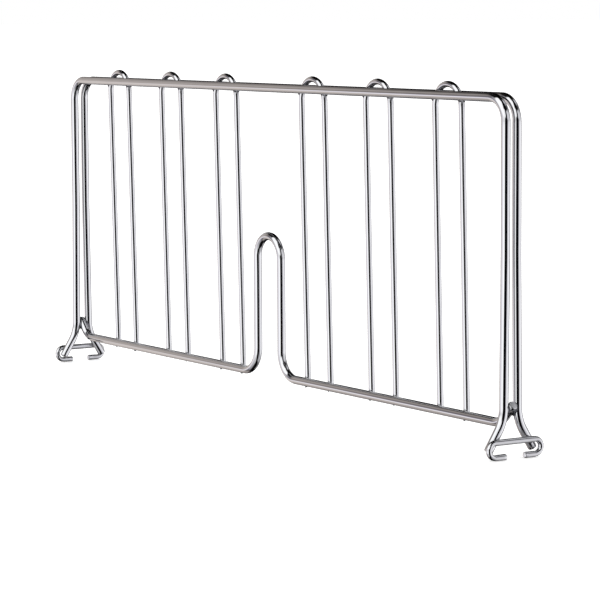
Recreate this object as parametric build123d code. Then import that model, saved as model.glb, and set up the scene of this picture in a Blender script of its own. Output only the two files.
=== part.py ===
"""Wire shelf divider: a see-through fence of bent and welded wire that hooks onto a wire shelf.

The divider runs along X, which is the shelf's depth. Y is across it and Z is up. The origin is
the centre of its footprint, at the underside of the two foot clips. All sizes are millimetres.
"""
from build123d import *
import math
import os

# Wire stock and welding
FRAME_WIRE = 5.2  # diameter of the frame wires and of the base wire
HAIRPIN_WIRE = 3.7  # diameter of the upright hairpins
CLIP_WIRE = 3.5  # diameter of the foot clips
SET_DOWN = 0.2  # how far a clip and a foot sink into each other at their weld
TAIL_SET_DOWN = 0.5  # how far the base wire's tails sink into the legs on both sides
HAIRPIN_SET_DOWN = 0.7  # how far a hairpin sinks into the thicker wires it crosses
END_ROUND = 0.4  # rounding of a wire's cut end, left by tumbling

# Overall sizes
LEG_SPAN = 498.0  # centre to centre of the frame's legs
RAIL_RISE = 177.0  # top rails above the base wire, centre to centre

# Frame wires
CORNER_RADIUS = 13.0  # bend from rail to leg, on the wire's centre line
SPREAD_RISE = 92.0  # above the base wire, where the legs start to spread round its tails
SPREAD_RADIUS = 400.0  # the slight bend there
FLARE_ANGLE = 32.0  # how far each foot leans out from upright, in degrees
FLARE_RADIUS = 25.0  # bend from leg to foot
FLARE_DROP = 6.0  # from the weld of leg and base wire down to the corner of that bend
FOOT_TIP = 4.6  # centre of a foot's cut end above the underside of the clips

# Base wire, with its spring loop in the middle
LOOP_SPACING = 27.4  # centre to centre of the loop's two uprights
LOOP_HEIGHT = 88.5  # top of the loop above the centre of the straight run
LOOP_FOOT_RADIUS = 16.0  # bend from the straight run into the loop
TAIL_ANGLE = 45.0  # how steeply the ends turn up, in degrees
TAIL_RISE = 11.3  # end of the wire above the straight run
TAIL_RADIUS = 14.0  # bend from the straight run into the tail
TAIL_PROUD = 2.5  # end of the wire beyond the centre of the legs

# Hairpin uprights
HAIRPINS_PER_SIDE = 3
HAIRPIN_SPACING = 25.4  # centre to centre of a hairpin's two legs
HAIRPIN_PROUD = 8.0  # top of a hairpin above the centre of the rails
HAIRPIN_TAIL = 1.5  # cut ends below the centre of the base wire
FIRST_HAIRPIN = 50.8  # middle of the divider to the nearest hairpin
END_GAP = 58.5  # centre of a leg to the nearest hairpin

# Foot clips
CLIP_WIDTH = 38.4  # over the outside of both bends
CLIP_PITCH = 8.2  # centre of the bar to the centre of the hooks under it
CLIP_DROP = 8.2  # centre of the base wire down to the centre of the bar
HOOK_GAP = 12.4  # between the cut ends of a clip's two hooks

# Levels, from the underside of the clips
hook_z = CLIP_WIRE / 2
bar_z = hook_z + CLIP_PITCH
base_z = bar_z + CLIP_DROP
rail_z = base_z + RAIL_RISE

# Places that follow from wires lying against each other
leg_x = LEG_SPAN / 2
rail_y = (FRAME_WIRE + HAIRPIN_WIRE) / 2 - HAIRPIN_SET_DOWN
leg_y = FRAME_WIRE - TAIL_SET_DOWN
hairpin_foot_y = (FRAME_WIRE + HAIRPIN_WIRE) / 2 - HAIRPIN_SET_DOWN
clip_x = leg_x + (FRAME_WIRE + CLIP_WIRE) / 2 - SET_DOWN
tail_run = TAIL_RISE / math.tan(math.radians(TAIL_ANGLE))
tail_weld_z = base_z + (tail_run - TAIL_PROUD) * math.tan(math.radians(TAIL_ANGLE))


def drawn_wire(path, diameter):
    """A round wire along a path of runs and tangent bends, with its cut ends rounded."""
    section = Plane(origin=path @ 0, z_dir=path % 0) * Circle(diameter / 2)
    rod = sweep(section, path=path)
    ends = rod.faces().filter_by(GeomType.PLANE)
    return fillet(ends.edges(), END_ROUND)


def joined(*curves):
    """One path from curves that meet end to end."""
    return Wire([edge for curve in curves for edge in curve.edges()])


def frame_wire(side):
    """Inverted U with splayed feet: side is -1 or 1, for the wire on the -Y or +Y side."""
    knee_z = tail_weld_z - FLARE_DROP
    tip_y = leg_y + (knee_z - FOOT_TIP) * math.tan(math.radians(FLARE_ANGLE))
    half = [
        (leg_x, side * rail_y, rail_z),
        (leg_x, side * rail_y, base_z + SPREAD_RISE),
        (leg_x, side * leg_y, knee_z),
        (leg_x, side * tip_y, FOOT_TIP),
    ]
    other_half = [(-x, y, z) for x, y, z in reversed(half)]
    radii = [CORNER_RADIUS, SPREAD_RADIUS, FLARE_RADIUS]
    path = FilletPolyline(*other_half, *half, radius=[*reversed(radii), *radii])
    return drawn_wire(joined(path), FRAME_WIRE)


def base_spring_wire():
    """Straight run with a tall U in the middle that gives under a squeeze, and turned-up tails."""
    loop_x = LOOP_SPACING / 2
    crown_z = base_z + LOOP_HEIGHT - FRAME_WIRE / 2 - loop_x
    end_x = leg_x + TAIL_PROUD

    def half(side):
        return FilletPolyline(
            (side * loop_x, 0, crown_z),
            (side * loop_x, 0, base_z),
            (side * (end_x - tail_run), 0, base_z),
            (side * end_x, 0, base_z + TAIL_RISE),
            radius=[LOOP_FOOT_RADIUS, TAIL_RADIUS],
        )

    crown = ThreePointArc((-loop_x, 0, crown_z), (0, 0, crown_z + loop_x), (loop_x, 0, crown_z))
    return drawn_wire(joined(half(-1), crown, half(1)), FRAME_WIRE)


def hairpin(centre_x):
    """Narrow inverted U, held between the rails and leaning to the +Y side of the base wire."""
    leg_half = HAIRPIN_SPACING / 2
    lean = math.atan2(hairpin_foot_y, RAIL_RISE)
    leaning = Plane(
        origin=(centre_x, 0, rail_z),
        x_dir=(1, 0, 0),
        z_dir=(0, -math.cos(lean), -math.sin(lean)),
    )
    crown = HAIRPIN_PROUD - HAIRPIN_WIRE / 2 - leg_half
    foot = -(RAIL_RISE + HAIRPIN_TAIL) / math.cos(lean)
    outline = joined(
        Line((-leg_half, foot), (-leg_half, crown)),
        ThreePointArc((-leg_half, crown), (0, crown + leg_half), (leg_half, crown)),
        Line((leg_half, crown), (leg_half, foot)),
    )
    return drawn_wire(leaning * outline, HAIRPIN_WIRE)


def foot_clip(side):
    """Flat C of thin wire across the two feet: its hooks turn in under the shelf's wires."""
    bend = CLIP_PITCH / 2
    bend_y = CLIP_WIDTH / 2 - CLIP_WIRE / 2 - bend
    middle_z = hook_z + bend
    x = side * clip_x

    def hook(hand):
        return joined(
            ThreePointArc(
                (x, hand * bend_y, bar_z),
                (x, hand * (bend_y + bend), middle_z),
                (x, hand * bend_y, hook_z),
            ),
            Line((x, hand * bend_y, hook_z), (x, hand * HOOK_GAP / 2, hook_z)),
        )

    bar = Line((x, -bend_y, bar_z), (x, bend_y, bar_z))
    return drawn_wire(joined(hook(-1), bar, hook(1)), CLIP_WIRE)


def hairpin_centres():
    """Even spacing on each side of the spring loop, from the -X end to the +X end."""
    last = leg_x - END_GAP
    step = (last - FIRST_HAIRPIN) / (HAIRPINS_PER_SIDE - 1)
    one_side = [FIRST_HAIRPIN + step * i for i in range(HAIRPINS_PER_SIDE)]
    return [-x for x in reversed(one_side)] + one_side


def write(name, shape):
    """Save one piece under its own name."""
    shape.label = name
    export_step(shape, f"parts/{name}.step")


os.makedirs("parts", exist_ok=True)
write("frame_wire_left", frame_wire(-1))
write("frame_wire_right", frame_wire(1))
write("base_spring_wire", base_spring_wire())
for number, centre_x in enumerate(hairpin_centres(), start=1):
    write(f"hairpin_{number}", hairpin(centre_x))
write("foot_clip_rear", foot_clip(-1))
write("foot_clip_front", foot_clip(1))
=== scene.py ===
"""Looks for the wire shelf divider: eleven chrome-plated wires, their cut ends and their welds."""
import math

import bpy
import numpy as np
from mathutils import Matrix, Vector


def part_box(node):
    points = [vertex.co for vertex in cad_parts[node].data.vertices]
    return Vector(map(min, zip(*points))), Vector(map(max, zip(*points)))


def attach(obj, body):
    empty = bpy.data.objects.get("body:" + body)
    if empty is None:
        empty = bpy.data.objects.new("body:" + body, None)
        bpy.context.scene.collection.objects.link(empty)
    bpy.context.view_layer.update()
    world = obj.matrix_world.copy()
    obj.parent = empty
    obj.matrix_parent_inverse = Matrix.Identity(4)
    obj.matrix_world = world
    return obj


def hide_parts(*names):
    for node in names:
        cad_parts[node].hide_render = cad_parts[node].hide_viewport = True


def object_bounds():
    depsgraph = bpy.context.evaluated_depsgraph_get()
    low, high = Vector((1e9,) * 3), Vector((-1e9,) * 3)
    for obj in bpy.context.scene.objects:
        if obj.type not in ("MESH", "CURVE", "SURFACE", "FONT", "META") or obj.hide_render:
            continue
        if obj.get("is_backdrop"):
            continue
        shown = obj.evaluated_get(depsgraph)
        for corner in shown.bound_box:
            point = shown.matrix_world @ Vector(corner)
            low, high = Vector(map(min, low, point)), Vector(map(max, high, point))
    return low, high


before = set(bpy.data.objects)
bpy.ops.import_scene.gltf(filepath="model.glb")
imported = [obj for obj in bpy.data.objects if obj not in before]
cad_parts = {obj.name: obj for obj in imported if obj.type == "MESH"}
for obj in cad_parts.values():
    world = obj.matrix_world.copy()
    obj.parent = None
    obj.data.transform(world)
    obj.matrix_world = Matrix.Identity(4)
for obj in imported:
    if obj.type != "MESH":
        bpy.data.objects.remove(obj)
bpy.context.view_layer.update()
MM = 0.001


# ---- Frame wires ---------------------------------------------------------------------------
# Two inverted Us of hard-drawn mild steel wire, one on each side. Each is bent cold from one
# straight length: rail, two tight corners, two long legs and two feet splayed apart.

frame_low, frame_high = (np.array(corner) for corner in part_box("frame_wire_right"))
base_low, base_high = (np.array(corner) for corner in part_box("base_spring_wire"))

WIRE_R = (base_high[1] - base_low[1]) / 2
HAIRPIN_R = 1.85 * MM
CLIP_SINK = 0.2 * MM
TAIL_SINK = 0.5 * MM
HAIRPIN_SINK = 0.7 * MM
CORNER_R = 13.0 * MM
SPREAD_R = 400.0 * MM
SPREAD_RISE = 92.0 * MM
FLARE_R = 25.0 * MM
FLARE_ANGLE = math.radians(32)
FLARE_DROP = 6.0 * MM
FOOT_TIP_Z = 4.6 * MM
TAIL_RISE = 11.3 * MM
TAIL_PROUD = 2.5 * MM

leg_x = frame_high[0] - WIRE_R
rail_z = frame_high[2] - WIRE_R
base_z = base_low[2] + WIRE_R
rail_y = WIRE_R + HAIRPIN_R - HAIRPIN_SINK
leg_y = 2 * WIRE_R - TAIL_SINK
tail_weld_z = base_z + TAIL_RISE - TAIL_PROUD
knee_z = tail_weld_z - FLARE_DROP
foot_y = leg_y + (knee_z - FOOT_TIP_Z) * math.tan(FLARE_ANGLE)

# How finely a wire is drawn: along its runs, round its bends and about its girth.
RUN_STEP = 3.0 * MM
BEND_STEP = math.radians(3)
SIDES = 40
# A sheared end: its tumbled lip and the low dome that the shears leave.
CUT_ROUND = 0.42 * MM
CUT_DOME = 0.30 * MM
CUT_RINGS = 6
# A bend flattens by this share of wire radius over bend radius, eased in and out over five rings.
FLATTEN = 0.22
EASE = np.array([1, 2, 3, 2, 1]) / 9
# A drawn and plated wire is never quite even: slow waves this deep, of these lengths in mm.
RIPPLE = 0.006 * MM
RIPPLE_WAVES = (14, 23, 37, 61, 110)


def bent_line(corners, bends):
    """Centre line of a bent wire: straight runs, and at each corner an arc that both runs touch.

    A point on an arc is its start + R (sin t along the old run + (1 - cos t) across it), for t
    from nothing to the turn. Gives the points, the headings and how tight the bend is at each.
    """
    corners = np.array(corners, float)
    runs = np.diff(corners, axis=0)
    headings = runs / np.linalg.norm(runs, axis=1)[:, None]
    pieces = []
    start = corners[0]
    for corner, old, new, radius in zip(corners[1:-1], headings[:-1], headings[1:], bends):
        turn = math.acos(float(old @ new))
        across = (new - old * math.cos(turn)) / math.sin(turn)
        reach = radius * math.tan(turn / 2)
        pieces.append(straight(start, corner - old * reach, old))
        t = np.linspace(0, turn, math.ceil(turn / BEND_STEP) + 1)[:-1, None]
        arc = corner - old * reach + radius * (np.sin(t) * old + (1 - np.cos(t)) * across)
        pieces.append((arc, np.cos(t) * old + np.sin(t) * across, np.full(len(t), 1 / radius)))
        start = corner + new * reach
    pieces.append(straight(start, corners[-1], headings[-1]))
    pieces.append((corners[-1:], headings[-1:], np.zeros(1)))
    return [np.concatenate(part) for part in zip(*pieces)]


def straight(start, end, heading):
    """Evenly spaced points from start up to, but not including, end."""
    count = round(np.linalg.norm(end - start) / RUN_STEP + 0.49)
    share = np.linspace(0, 1, count + 1)[:-1, None]
    points = start + share * (end - start)
    return points, np.tile(heading, (count, 1)), np.zeros(count)


def cut_end(points, headings, radius, sign):
    """Rings of a sheared end: a quarter-round lip, then a shallow dome down to the middle.

    Ring radius is (r - lip) + lip cos t with the lip's depth sin t, then shrinks to nothing while
    the dome rises as 1 - share squared.
    """
    lip = np.radians([0, 30, 60, 90])
    share = np.linspace(1, 0, CUT_RINGS + 1)[1:]
    flat = radius - CUT_ROUND
    rings = np.concatenate([flat + CUT_ROUND * np.cos(lip), flat * share])
    depth = np.concatenate([CUT_ROUND * (np.sin(lip) - 1), CUT_DOME * (1 - share**2)])
    tip, heading = (points[-1], headings[-1]) if sign > 0 else (points[0], headings[0])
    centres = tip + sign * depth[:, None] * heading
    return centres, np.tile(heading, (len(rings), 1)), rings


def closed_tube(name, centres, headings, rings, across, swell, lengths):
    """A tube of rings closed by a point at each end.

    A point is centre + ring radius times swell times (cos a N + sin a B), where N is the across
    direction squared up to the heading and B is square to both.
    """
    normal = across - (headings @ across)[:, None] * headings
    normal /= np.linalg.norm(normal, axis=1)[:, None]
    side = np.cross(headings, normal)
    a = np.arange(SIDES) * 2 * math.pi / SIDES
    around = np.cos(a)[None, :, None] * normal[:, None] + np.sin(a)[None, :, None] * side[:, None]
    body = slice(1, -1)
    shell = centres[body, None] + (rings[body, None] * swell[body])[..., None] * around[body]
    points = np.concatenate([shell.reshape(-1, 3), centres[:1], centres[-1:]])
    count = len(centres) - 2
    i, j = np.meshgrid(np.arange(count - 1), np.arange(SIDES), indexing="ij")
    after = (j + 1) % SIDES
    quads = np.stack([i * SIDES + j, i * SIDES + after, (i + 1) * SIDES + after, (i + 1) * SIDES + j], -1)
    j, after = np.arange(SIDES), (np.arange(SIDES) + 1) % SIDES
    first, last = count * SIDES, count * SIDES + 1
    top = (count - 1) * SIDES
    caps = np.concatenate([
        np.stack([np.full(SIDES, first), after, j], -1),
        np.stack([np.full(SIDES, last), top + j, top + after], -1),
    ])
    along = lengths[body][:, None] * np.ones(SIDES)
    girth = np.ones(count)[:, None] * np.arange(SIDES) * (2 * math.pi * rings.max() / SIDES)
    surface = np.stack([girth.ravel(), along.ravel()], -1)
    surface = np.concatenate([surface, [[0, lengths[0]], [0, lengths[-1]]]])
    return mesh_piece(name, points, quads.reshape(-1, 4), caps, surface)


def mesh_piece(name, points, quads, triangles, surface):
    """A smooth mesh from corner and face arrays, with the way round and along it as its UV in mm."""
    mesh = bpy.data.meshes.new(name)
    mesh.from_pydata(points, [], quads.tolist() + triangles.tolist())
    corners = np.concatenate([quads.ravel(), triangles.ravel()]).astype(int)
    layer = mesh.uv_layers.new(name="round_and_along")
    layer.data.foreach_set("uv", (surface[corners] / MM).astype(np.float32).ravel())
    mesh.polygons.foreach_set("use_smooth", np.ones(len(mesh.polygons), bool))
    mesh.update()
    piece = bpy.data.objects.new(name, mesh)
    bpy.context.scene.collection.objects.link(piece)
    return piece


def drawn_wire(node, corners, bends, radius, across, seed):
    """One plated wire that stands for its CAD node.

    Its girth shrinks by a few hundredths of a millimetre at most, as a sum of slow cosine waves,
    and in a bend its section flattens by a share of sin squared of the angle round the wire.
    """
    points, headings, bend = bent_line(corners, bends)
    lengths = np.concatenate([[0], np.cumsum(np.linalg.norm(np.diff(points, axis=0), axis=1))])
    clear = 1.2 * CUT_ROUND
    keep = (lengths > clear) & (lengths < lengths[-1] - clear)
    head = [part[::-1] for part in cut_end(points, headings, radius, -1)]
    tail = cut_end(points, headings, radius, 1)
    eased = np.convolve(np.pad(bend, len(EASE) // 2, mode="edge"), EASE, mode="valid")
    centres = np.concatenate([head[0], points[keep], tail[0]])
    headings = np.concatenate([head[1], headings[keep], tail[1]])
    rings = np.concatenate([head[2], np.full(keep.sum(), radius), tail[2]])
    blank = np.zeros(len(head[2]))
    eased = np.concatenate([blank, eased[keep], blank])
    lengths = np.concatenate([blank, lengths[keep], blank + lengths[-1]])
    a = np.arange(SIDES) * 2 * math.pi / SIDES
    oval = 1 - FLATTEN * radius * eased[:, None] * np.sin(a) ** 2
    rng = np.random.default_rng(seed)
    ripple = np.zeros((len(lengths), SIDES))
    for wave in RIPPLE_WAVES:
        lobes, phase, turn = rng.integers(0, 3), *rng.uniform(0, 2 * math.pi, 2)
        ripple += np.cos(2 * math.pi * lengths[:, None] / (wave * MM) + phase) * np.cos(lobes * a + turn)
    swell = oval + RIPPLE / radius * (ripple - ripple.max())
    across = np.array(across, float)
    piece = closed_tube(node + "_plated", centres, headings, rings, across, swell, lengths)
    finish(piece, bright_chrome)
    piece.data.materials.append(sheared_chrome)
    cut = np.zeros((len(centres) - 3, SIDES), int)
    cut[:CUT_RINGS - 1] = 1
    cut[1 - CUT_RINGS:] = 1
    piece.data.polygons.foreach_set("material_index", np.append(cut.ravel(), np.ones(2 * SIDES, int)))
    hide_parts(node)


def finish(piece, material):
    """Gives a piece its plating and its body."""
    piece.data.materials.append(material)
    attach(piece, "root")


# Bright chrome: nickel and a flash of chromium over drawn steel, as plated, with no polish after.
# It is a near-perfect mirror with shallow die lines along the wire and a very slight orange peel
# from the nickel. Wipe marks dull it a little in slow patches.


def linear(hex_colour):
    """Linear colour of an sRGB hex value."""
    srgb = [int(hex_colour[i:i + 2], 16) / 255 for i in (1, 3, 5)]
    return [c / 12.92 if c <= 0.04045 else ((c + 0.055) / 1.055) ** 2.4 for c in srgb] + [1.0]


def add(tree, kind, links=(), **settings):
    """Adds a node: settings are its properties, or its inputs where a name matches one."""
    made = tree.nodes.new(kind)
    for name, value in settings.items():
        if hasattr(made, name):
            setattr(made, name, value)
    for name, value in settings.items():
        if not hasattr(made, name):
            made.inputs[name.replace("_", " ")].default_value = value
    for socket, source in dict(links).items():
        tree.links.new(source, made.inputs[socket])
    return made


# Real die lines are some 20 to the millimetre: these are drawn coarser, so that they show.
DIE_LINES_PER_MM = 5.0
DIE_LINE_RUN_PER_MM = 0.02
DIE_LINE_DEPTH = 0.0006 * MM
PEEL_SIZE = 3.0 * MM
WIPE_SIZE = 28.0 * MM
WIPE_FROM, WIPE_TO = 0.35, 0.75
WIPE_DULLING = 2.2


def chrome_plate(name, dull, peel, light="#c6c6c7", dark="#c0c1c4"):
    """Chrome whose roughness goes from dull up where wiped, with an orange peel so deep in mm."""
    material = bpy.data.materials.new(name)
    material.use_nodes = True
    tree = material.node_tree
    shader = tree.nodes["Principled BSDF"]
    place = add(tree, "ShaderNodeTexCoord")
    on_object = {"Vector": place.outputs["Object"]}
    wipes = add(tree, "ShaderNodeTexNoise", on_object, Scale=1 / WIPE_SIZE, Detail=3.0)
    rough = add(tree, "ShaderNodeMapRange", {"Value": wipes.outputs["Fac"]})
    rough.inputs["From Min"].default_value = WIPE_FROM
    rough.inputs["From Max"].default_value = WIPE_TO
    rough.inputs["To Min"].default_value = dull
    rough.inputs["To Max"].default_value = dull * WIPE_DULLING
    tree.links.new(rough.outputs["Result"], shader.inputs["Roughness"])
    tint = add(tree, "ShaderNodeMix", {0: wipes.outputs["Fac"]}, data_type="RGBA")
    tint.inputs[6].default_value = linear(light)
    tint.inputs[7].default_value = linear(dark)
    tree.links.new(tint.outputs[2], shader.inputs["Base Color"])
    shader.inputs["Metallic"].default_value = 1.0
    stretch = add(tree, "ShaderNodeMapping", {"Vector": place.outputs["UV"]})
    stretch.inputs["Scale"].default_value = (DIE_LINES_PER_MM, DIE_LINE_RUN_PER_MM, 1)
    lines = add(tree, "ShaderNodeTexNoise", {"Vector": stretch.outputs["Vector"]}, Scale=1.0, Detail=2.0)
    nickel = add(tree, "ShaderNodeTexNoise", on_object, Scale=1 / PEEL_SIZE, Detail=1.0)
    drawn = {"Height": lines.outputs["Fac"]}
    die_bump = add(tree, "ShaderNodeBump", drawn, Strength=1.0, Distance=DIE_LINE_DEPTH)
    plated = {"Height": nickel.outputs["Fac"], "Normal": die_bump.outputs["Normal"]}
    peel_bump = add(tree, "ShaderNodeBump", plated, Strength=1.0, Distance=peel * MM)
    tree.links.new(peel_bump.outputs["Normal"], shader.inputs["Normal"])
    return material


bright_chrome = chrome_plate("bright chrome plate on drawn wire", dull=0.03, peel=0.004)
# A sheared face is torn, so the plate on it scatters light and looks pale and satin.
sheared_chrome = chrome_plate("chrome plate over a sheared end", 0.36, 0.03, "#ececee", "#dcdde0")

for side, node in ((-1, "frame_wire_left"), (1, "frame_wire_right")):
    half = [
        (leg_x, side * rail_y, rail_z),
        (leg_x, side * rail_y, base_z + SPREAD_RISE),
        (leg_x, side * leg_y, knee_z),
        (leg_x, side * foot_y, FOOT_TIP_Z),
    ]
    corners = [(-x, y, z) for x, y, z in reversed(half)] + half
    bends = [CORNER_R, SPREAD_R, FLARE_R]
    drawn_wire(node, corners, bends[::-1] + bends, WIRE_R, (1, -side, 1), 11 + side)


# ---- Base wire -----------------------------------------------------------------------------
# One length of the same wire between the two frames. The tall U in its middle lets the divider
# be squeezed shorter to clip it in; both ends turn up and are welded between the legs.

LOOP_HALF = 13.7 * MM
LOOP_FOOT_R = 16.0 * MM
TAIL_R = 14.0 * MM

loop_top_z = base_high[2] - WIRE_R
end_x = leg_x + TAIL_PROUD
half = [
    (LOOP_HALF, 0, loop_top_z),
    (LOOP_HALF, 0, base_z),
    (end_x - TAIL_RISE, 0, base_z),
    (end_x, 0, base_z + TAIL_RISE),
]
corners = [(-x, y, z) for x, y, z in reversed(half)] + half
bends = [TAIL_R, LOOP_FOOT_R, LOOP_HALF, LOOP_HALF, LOOP_FOOT_R, TAIL_R]
drawn_wire("base_spring_wire", corners, bends, WIRE_R, (0, 1, 0), 21)


# ---- Hairpin uprights ----------------------------------------------------------------------
# Six narrow Us of thinner wire. Their crowns stand up between the two rails, and their cut
# ends are welded to the far side of the base wire, so each leans a little.

HAIRPIN_HALF = 12.7 * MM
HAIRPIN_TAIL = 1.5 * MM

hairpin_names = sorted(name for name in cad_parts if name.startswith("hairpin_"))
hairpin_x = []
lean_y = WIRE_R + HAIRPIN_R - HAIRPIN_SINK
lean = lean_y / (rail_z - base_z)
for number, node in enumerate(hairpin_names):
    low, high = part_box(node)
    centre_x = (low.x + high.x) / 2
    crown_z = high.z - HAIRPIN_R
    foot_z = base_z - HAIRPIN_TAIL
    half = [
        (HAIRPIN_HALF, (rail_z - crown_z) * lean, crown_z),
        (HAIRPIN_HALF, (rail_z - foot_z) * lean, foot_z),
    ]
    corners = [(centre_x - x, y, z) for x, y, z in reversed(half)]
    corners += [(centre_x + x, y, z) for x, y, z in half]
    drawn_wire(node, corners, [HAIRPIN_HALF] * 2, HAIRPIN_R, (0, 1, lean), 31 + number)
    hairpin_x += [centre_x - HAIRPIN_HALF, centre_x + HAIRPIN_HALF]


# ---- Foot clips ----------------------------------------------------------------------------
# A flat C of thin wire across the outside of each pair of feet. The shelf's wires lie in the
# slots between its bar and the two hooks that turn in under it.

HOOK_END = 6.2 * MM

for node in ("foot_clip_rear", "foot_clip_front"):
    low, high = (np.array(corner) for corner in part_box(node))
    clip_r = (high[0] - low[0]) / 2
    clip_x, reach = (high[0] + low[0]) / 2, high[1] - clip_r
    hook_z, bar_z = low[2] + clip_r, high[2] - clip_r
    half = [(clip_x, reach, bar_z), (clip_x, reach, hook_z), (clip_x, HOOK_END, hook_z)]
    corners = [(x, -y, z) for x, y, z in reversed(half)] + half
    drawn_wire(node, corners, [(bar_z - hook_z) / 2] * 4, clip_r, (1, 0, 0), 41 + int(clip_x > 0))


# ---- Welds ---------------------------------------------------------------------------------
# Where two wires cross they are resistance welded: they sink into each other and a little metal
# squeezes out round the joint. It is plated over, so it is chrome too, only less smooth, and its colour is
# painted darker as shade.

# How far the metal runs out from the crease, how much more of it below than above, and how far
# round a wire it may creep.
FLASH = 1.15 * MM
SAG = 0.5
WRAP = math.radians(68)
# Its outline wavers by these shares, in two lobes and in five.
TWO_LOBES, FIVE_LOBES = 0.10, 0.08
# The face is drawn in to this share of the flash's width, and the ring has its hole at this share
# of the crease.
DRAWN_IN, HOLE = 0.35, 0.3
FLASH_STEPS = 8
FLASH_SIDES = 36

# Flash is rough under its plate. Its base colour is painted dark as well, a painted shade standing for the
# shadow and dark reflection in the joint.
weld_flash_painted_dark = chrome_plate("chrome plate over weld flash with painted shade", 0.09, 0.05, "#8e8f94", "#4a4b50")


def unit(vector):
    """The same direction, one long."""
    return np.array(vector, float) / np.linalg.norm(vector)


def weld_flash(middle, towards, axis_a, axis_b, radius_a, radius_b, sink, rng):
    """A closed ring of squeezed-out metal round the place where wire a and wire b cross.

    The crease is where the two round surfaces meet: radius_a (1 - cos) + radius_b (1 - cos) of
    the angles reached equals the sink. From the crease the flash runs a little way up each wire,
    and its face between is a curve pulled towards the crease.
    """
    angle = np.arange(FLASH_SIDES) * 2 * math.pi / FLASH_SIDES
    n = towards
    out = np.cos(angle)[:, None] * axis_a + np.sin(angle)[:, None] * np.cross(n, axis_a)
    flat_a, flat_b = out @ axis_a, out @ axis_b
    curve_a = np.sqrt(1 - np.minimum(flat_a**2, 1))
    curve_b = np.sqrt(1 - np.minimum(flat_b**2, 1))
    reach = np.sqrt(sink / (curve_a**2 / (2 * radius_a) + curve_b**2 / (2 * radius_b)))
    bumps = 1 + TWO_LOBES * np.cos(2 * angle + rng.uniform(0, 6))
    bumps = bumps + FIVE_LOBES * np.cos(5 * angle + rng.uniform(0, 6))
    width = FLASH * bumps * (1 - SAG * out[:, 2]) * rng.uniform(0.9, 1.1)

    def foot(flat, curve, axis, radius, sign):
        turn = np.arcsin(np.minimum(curve * reach / radius, 0.95)) + width * curve / radius
        turn = np.minimum(turn, WRAP)
        square = (out - flat[:, None] * axis) / np.maximum(curve, 1e-6)[:, None]
        height = sign * (sink / 2 - radius * (1 - np.cos(turn)))
        along = ((reach + width) * flat)[:, None] * axis
        return middle + along + (radius * np.sin(turn))[:, None] * square + height[:, None] * n

    foot_a = foot(flat_a, curve_a, axis_a, radius_a, 1)
    foot_b = foot(flat_b, curve_b, axis_b, radius_b, -1)
    crease_height = sink / 2 - radius_a + np.sqrt(radius_a**2 - (curve_a * reach) ** 2)
    pull = middle + (reach + DRAWN_IN * width)[:, None] * out + crease_height[:, None] * n
    t = np.linspace(0, 1, FLASH_STEPS)[:, None, None]
    face = (1 - t) ** 2 * foot_a + 2 * t * (1 - t) * pull + t**2 * foot_b
    core = middle + HOLE * reach[:, None] * out
    return np.concatenate([face, core[None]])


def weld_piece(name, rings):
    """One mesh of many closed rings, each a grid that joins up both round and across."""
    across, around = rings[0].shape[:2]
    i, j = np.meshgrid(np.arange(across), np.arange(around), indexing="ij")
    i2, j2 = (i + 1) % across, (j + 1) % around
    quads = np.stack([i * around + j, i * around + j2, i2 * around + j2, i2 * around + j], -1)
    offsets = (np.arange(len(rings)) * across * around)[:, None, None]
    points = np.stack(rings).reshape(-1, 3)
    faces = (quads.reshape(-1, 4) + offsets).reshape(-1, 4)
    piece = mesh_piece(name, points, faces, np.zeros((0, 3), int), points[:, :2])
    # The flash gets the plate whose base colour is painted dark, as shade in the joint.
    finish(piece, weld_flash_painted_dark)


rng = np.random.default_rng(7)
along, across, up = np.eye(3)


def hairpin_weld(x, y, z, side):
    """Flash round the point where an upright lies on that side of a thick wire."""
    middle = np.array([x, y, z])
    return weld_flash(middle, side * across, along, up, WIRE_R, HAIRPIN_R, HAIRPIN_SINK, rng)


rail_welds, base_welds = [], []
for x in hairpin_x:
    for side in (-1, 1):
        rail_welds.append(hairpin_weld(x, side * (HAIRPIN_R - HAIRPIN_SINK / 2), rail_z, -side))
    base_welds.append(hairpin_weld(x, WIRE_R - HAIRPIN_SINK / 2, base_z, 1))
weld_piece("rail_welds", rail_welds)
weld_piece("base_welds", base_welds)

foot_y_at_bar = leg_y + (knee_z - bar_z) * math.tan(FLARE_ANGLE)
foot_welds = []
for end in (-1, 1):
    for side in (-1, 1):
        middle = np.array([end * leg_x, side * (WIRE_R - TAIL_SINK / 2), tail_weld_z])
        tail = unit((end, 0, 1))
        foot_welds.append(weld_flash(middle, side * across, tail, up, WIRE_R, WIRE_R, TAIL_SINK, rng))
        middle = np.array([end * (leg_x + WIRE_R - CLIP_SINK / 2), side * foot_y_at_bar, bar_z])
        foot = unit((0, -side * math.sin(FLARE_ANGLE), math.cos(FLARE_ANGLE)))
        foot_welds.append(weld_flash(middle, end * along, foot, across, WIRE_R, clip_r, CLIP_SINK, rng))
weld_piece("foot_welds", foot_welds)


# ---- Floor ---------------------------------------------------------------------------------
# A plain pale sweep under the divider, out of the chrome's reflections.

FLOOR_HALF = 40.0
FLOOR_Z = -0.2 * MM
FLOOR_GLOW = 0.45

floor_mesh = bpy.data.meshes.new("floor")
floor_corners = [(x * FLOOR_HALF, y * FLOOR_HALF, FLOOR_Z) for x, y in ((-1, -1), (1, -1), (1, 1), (-1, 1))]
floor_mesh.from_pydata(floor_corners, [], [(0, 1, 2, 3)])
floor = bpy.data.objects.new("floor", floor_mesh)
bpy.context.scene.collection.objects.link(floor)
floor.visible_glossy = False
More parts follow.
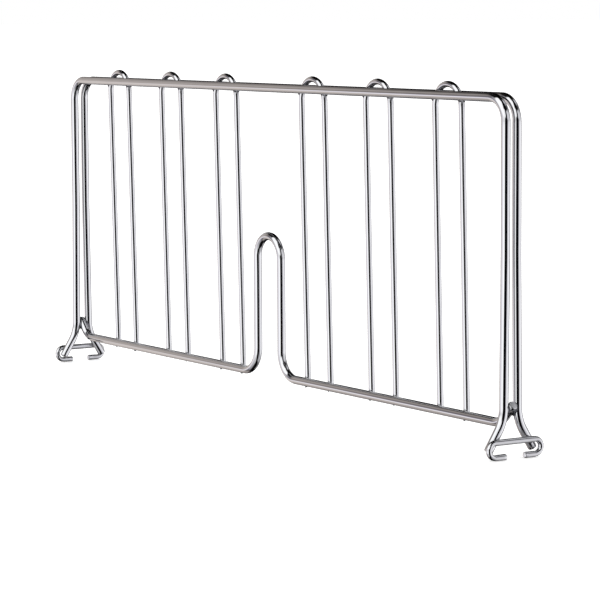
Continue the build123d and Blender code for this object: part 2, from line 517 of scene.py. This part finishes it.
# Matt white backdrop paper, lit a little from behind so that it stays evenly pale.
paper = bpy.data.materials.new("matt white paper")
paper.use_nodes = True
paper_shader = paper.node_tree.nodes["Principled BSDF"]
paper_shader.inputs["Base Color"].default_value = linear("#f4f4f4")
paper_shader.inputs["Roughness"].default_value = 0.9
paper_shader.inputs["Specular IOR Level"].default_value = 0.0
paper_shader.inputs["Emission Color"].default_value = linear("#ffffff")
paper_shader.inputs["Emission Strength"].default_value = FLOOR_GLOW
floor_mesh.materials.append(paper)
floor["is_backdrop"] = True


# ---- Studio --------------------------------------------------------------------------------
# A white tent with a few cards in it. Chrome has no colour of its own, so these cards are what
# gives the wires their dark cores, grey edges and warm rails.

CAMERA_AZIMUTH = 57.856
TENT_LIGHT = 1.8
# What stands round the divider, by degrees to the right of the lens: each shade is the one that
# bare chrome shows of it.
RING = (
    (-180, "#1c1c1e"), (-172, "#1c1c1e"), (-164, "#7c7775"), (-157, "#b9b0ac"), (-150, "#c9c0bb"),
    (-122, "#c6beb9"), (-119, "#b6ada8"), (-116, "#948c88"), (-112, "#7a757b"), (-108, "#848288"),
    (-103, "#bdbbc0"), (-84, "#d6d4d9"), (-60, "#f8f7fa"), (-38, "#ffffff"), (-28, "#ffffff"),
    (-21, "#0a0a0c"), (40, "#0a0a0c"), (47, "#e2e1e5"), (66, "#cfcdd2"), (88, "#ffffff"),
    (104, "#f4f2f6"), (112, "#c6c4c9"), (117, "#36363a"), (126, "#36363a"), (132, "#c4c2c6"),
    (155, "#c6c4c3"), (160, "#1c1c1e"), (180, "#1c1c1e"),
)
# How bright all of that is by height: a dark ceiling, and a dimmer floor close by.
RISE = (
    (-90, "#101010"), (-66, "#141414"), (-57, "#808080"), (-50, "#c0c0c0"), (-34, "#c4c4c4"),
    (-22, "#ffffff"), (-3, "#ffffff"), (5, "#e4e4e4"), (15, "#d6d6d6"), (27, "#bebebe"),
    (31, "#a4a4a4"), (34, "#7a7a7a"), (36, "#4a4a4a"), (39, "#202020"), (90, "#121212"),
)
# Lights and cards of their own: from and to by bearing, from and to by height, and how soft the edge is.
LIGHTS = (
    ("high softbox on the left", -96, -22, 9, 72, 5, "#ffffff"),
    ("low strip on the left", -119, -100, -18, -4, 4, "#e6e2e8"),
    ("small softbox on the right", 94, 128, 42, 66, 6, "#c4c4c8"),
    ("card above the lens", -22, 0, 14, 42, 4, "#f0f0f2"),
    ("card beside the lens", 35, 70, 10, 38, 4, "#d0d0d4"),
    ("floor beside the lens", 35, 66, -60, -19, 5, "#9c9ca0"),
)

world = bpy.data.worlds.new("white tent")
bpy.context.scene.world = world
world.use_nodes = True
sky = world.node_tree
sky.nodes.clear()
towards = add(sky, "ShaderNodeTexCoord").outputs["Generated"]


def ramp(angle, stops, full):
    """A ramp over an angle in radians, with stops in degrees from -full to full."""
    share = add(sky, "ShaderNodeMapRange", {"Value": angle})
    share.inputs["From Min"].default_value = -math.radians(full)
    share.inputs["From Max"].default_value = math.radians(full)
    made = add(sky, "ShaderNodeValToRGB", {"Fac": share.outputs["Result"]})
    line = made.color_ramp
    line.interpolation = "EASE"
    for degrees, shade in stops[1:-1]:
        line.elements.new((degrees + full) / (2 * full))
    for stop, (degrees, shade) in zip(line.elements, stops):
        stop.color = linear(shade)
    return made.outputs["Color"]


turn = math.radians(CAMERA_AZIMUTH)
facing = add(sky, "ShaderNodeVectorMath", {0: towards}, operation="DOT_PRODUCT")
facing.inputs[1].default_value = (math.sin(turn), -math.cos(turn), 0)
rightward = add(sky, "ShaderNodeVectorMath", {0: towards}, operation="DOT_PRODUCT")
rightward.inputs[1].default_value = (math.cos(turn), math.sin(turn), 0)
sides = {0: rightward.outputs["Value"], 1: facing.outputs["Value"]}
bearing = add(sky, "ShaderNodeMath", sides, operation="ARCTAN2")
split = add(sky, "ShaderNodeSeparateXYZ", {"Vector": towards})
height = add(sky, "ShaderNodeMath", {0: split.outputs["Z"]}, operation="ARCSINE")
around = ramp(bearing.outputs["Value"], RING, 180)
upward = ramp(height.outputs["Value"], RISE, 90)
cards = add(sky, "ShaderNodeVectorMath", {0: around, 1: upward}, operation="MULTIPLY").outputs["Vector"]


def edge(angle, start, end):
    """A smooth step over an angle in radians: 0 at start, 1 at end, both in degrees."""
    step = add(sky, "ShaderNodeMapRange", {"Value": angle}, interpolation_type="SMOOTHSTEP")
    step.inputs["From Min"].default_value = math.radians(start)
    step.inputs["From Max"].default_value = math.radians(end)
    return step.outputs["Result"]


def product(first, second):
    """The product of two numbers in the sky's nodes."""
    return add(sky, "ShaderNodeMath", {0: first, 1: second}, operation="MULTIPLY").outputs["Value"]


for name, left, right, lowest, highest, soft, shade in LIGHTS:
    bearings = product(
        edge(bearing.outputs["Value"], left - soft, left + soft),
        edge(bearing.outputs["Value"], right + soft, right - soft),
    )
    heights = product(
        edge(height.outputs["Value"], lowest - soft, lowest + soft),
        edge(height.outputs["Value"], highest + soft, highest - soft),
    )
    over = {0: product(bearings, heights), 6: cards}
    lit = add(sky, "ShaderNodeMix", over, data_type="RGBA", label=name)
    lit.inputs[7].default_value = linear(shade)
    cards = lit.outputs[2]
cards = add(sky, "ShaderNodeVectorMath", {0: cards}, operation="SCALE")
cards.inputs["Scale"].default_value = TENT_LIGHT
ray = add(sky, "ShaderNodeLightPath")
# Reflections see the cards, and every other ray sees plain white.
by_ray = {0: ray.outputs["Is Glossy Ray"], 7: cards.outputs["Vector"]}
seen = add(sky, "ShaderNodeMix", by_ray, data_type="RGBA")
seen.inputs[6].default_value = linear("#ffffff")
glow = add(sky, "ShaderNodeBackground", {"Color": seen.outputs[2]}, Strength=1.0)
add(sky, "ShaderNodeOutputWorld", {"Surface": glow.outputs["Background"]})
bpy.context.scene.view_settings.view_transform = "Standard"


# ---- Camera --------------------------------------------------------------------------------
# A long lens at shelf height, looking along the divider from its front end.

CAMERA_ELEVATION = 6.075
CAMERA_ROLL = -0.295
CAMERA_DISTANCE = 1655.1 * MM
CAMERA_AIM = Vector((35.3, 0, 67.6)) * MM
LENS = 163.93
FILM_WIDTH = 36

elevation = math.radians(CAMERA_ELEVATION)
level = math.cos(elevation)
back = Vector((math.sin(turn) * level, -math.cos(turn) * level, math.sin(elevation)))
lens = bpy.data.cameras.new("camera")
lens.lens = LENS
lens.sensor_width = FILM_WIDTH
lens.clip_start = 0.01
lens.clip_end = 200
camera = bpy.data.objects.new("camera", lens)
bpy.context.scene.collection.objects.link(camera)
aimed = (-back).to_track_quat("-Z", "Y").to_matrix().to_4x4()
rolled = Matrix.Rotation(math.radians(CAMERA_ROLL), 4, "Z")
camera.matrix_world = Matrix.Translation(CAMERA_AIM + back * CAMERA_DISTANCE) @ aimed @ rolled
bpy.context.scene.camera = camera

low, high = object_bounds()
